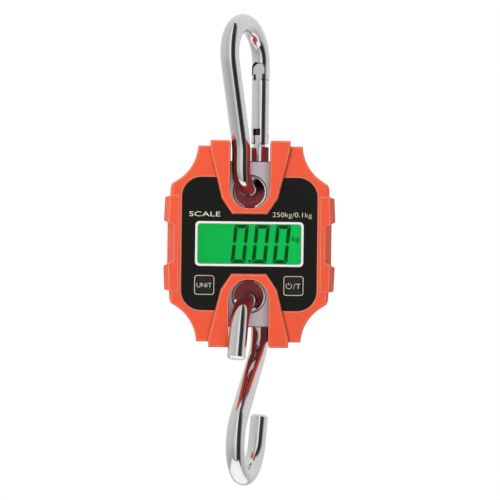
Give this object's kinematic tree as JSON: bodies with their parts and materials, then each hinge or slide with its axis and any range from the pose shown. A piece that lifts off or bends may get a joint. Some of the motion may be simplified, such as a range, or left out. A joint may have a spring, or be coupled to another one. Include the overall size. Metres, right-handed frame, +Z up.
{
  "type": "digital hanging scale",
  "caption": "Digital hanging scale with an orange housing, a lit display and keys, a spring-gate carabiner above and a steel S-hook below, both on a flat load cell.",
  "frame": {"origin": "hanging point, inside the top of the carabiner's rod", "axes": "+X to the right seen from the display side, +Y from the display towards the battery door, +Z up"},
  "size_m": [0.0947, 0.0525, 0.2565],
  "materials": {
    "orange_plastic": "finely textured moulded plastic",
    "black_panel": "glossy printed film",
    "black_key": "glossy",
    "clear_window": "clear",
    "lcd": "glowing green from behind",
    "light_guide": "glowing green",
    "led": "glowing green",
    "polished_steel": "polished",
    "satin_bar": "fine brushed, polished bevels",
    "screw_steel": "zinc plated",
    "spring_steel": "plain",
    "contact_metal": "nickel plated",
    "black_plastic": "plain",
    "white_plastic": "plain",
    "circuit_board": "solder mask green",
    "strip_rubber": "soft",
    "lead_sheath": "plain",
    "flat_lead": "amber film",
    "gauge_film": "amber film",
    "cell_can": "wrapped label, plain"
  },
  "bodies": {
    "carabiner": {"carabiner_rod": "polished_steel", "gate_pin": "polished_steel"},
    "gate": {"gate": "polished_steel", "gate_plunger": "black_plastic", "gate_spring": "spring_steel"},
    "hook": {"s_hook": "polished_steel"},
    "unit_button": {"unit_key": "black_key", "unit_plunger": "black_plastic"},
    "power_button": {"power_key": "black_key", "power_plunger": "black_plastic"},
    "door": {"battery_door": "orange_plastic"},
    "housing": {"front_shell": "orange_plastic", "back_shell": "orange_plastic", "housing_screws": "screw_steel", "panel_overlay": "black_panel", "display_window": "clear_window", "lcd_glass": "lcd", "backlight": "light_guide", "backlight_leds": "led", "zebra_strip": "strip_rubber", "lcd_frame": "white_plastic", "main_board": "circuit_board", "board_screws": "screw_steel", "board_chips": "black_plastic", "tact_switches": "black_plastic", "load_cell": "satin_bar", "load_cell_screws": "screw_steel", "strain_gauges": "gauge_film", "load_cell_lead": "flat_lead", "battery_cells": "cell_can", "battery_springs": "spring_steel", "battery_contacts": "contact_metal", "battery_leads": "lead_sheath"}
  },
  "joints": [
    {"name": "housing_twist", "type": "hinge", "parent": "carabiner", "child": "housing", "pos_m": [0.00331, 0.0065, -0.0735], "axis": [0, 0, 1], "range_deg": [-50, 0]},
    {"name": "gate_pivot", "type": "hinge", "parent": "carabiner", "child": "gate", "pos_m": [0.0084, 0.01648, -0.0549], "axis": [0.891, -0.454, 0], "range_deg": [0, 34], "stiffness_Nm_per_rad": 0.25, "springref_deg": -28.65},
    {"name": "hook_swing", "type": "hinge", "parent": "housing", "child": "hook", "pos_m": [0.00316, 0.0065, -0.1537], "axis": [1, 0, 0], "range_deg": [-13, 13]},
    {"name": "unit_press", "type": "slide", "parent": "housing", "child": "unit_button", "axis": [0, 1, 0], "range_m": [0, 0.0004], "stiffness_N_per_m": 3000, "springref_m": -0.0003},
    {"name": "power_press", "type": "slide", "parent": "housing", "child": "power_button", "axis": [0, 1, 0], "range_m": [0, 0.0004], "stiffness_N_per_m": 3000, "springref_m": -0.0003},
    {"name": "door_hinge", "type": "hinge", "parent": "housing", "child": "door", "pos_m": [0.00316, 0.026, -0.0985], "axis": [1, 0, 0], "range_deg": [0, 90]}
  ]
}
